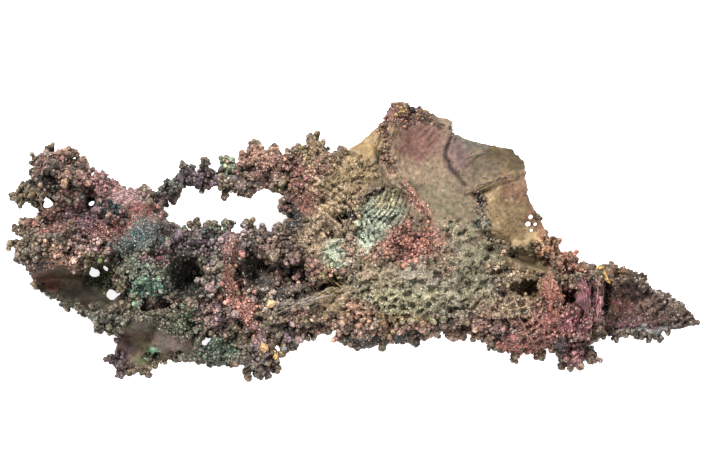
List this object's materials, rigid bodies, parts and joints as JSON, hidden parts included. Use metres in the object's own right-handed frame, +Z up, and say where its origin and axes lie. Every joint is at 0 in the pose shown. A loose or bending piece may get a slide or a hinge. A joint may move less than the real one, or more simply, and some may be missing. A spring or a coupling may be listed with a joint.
{
  "type": "hematite after goethite specimen",
  "caption": "Lacy, botryoidal specimen of iridescent hematite after goethite with a thin smooth wing, caves and an open loop, lying on its back.",
  "frame": {"origin": "middle of the bounding box in plan, on the surface that the specimen lies on", "axes": "+X along its length from the knobbly crown to the leaf-shaped tip, +Y towards the wing's peak, +Z up out of the face that shows"},
  "size_m": [0.1394, 0.0562, 0.0234],
  "materials": {
    "iridescent_hematite": "satin"
  },
  "bodies": {
    "root": {"specimen": "iridescent_hematite"}
  },
  "joints": []
}
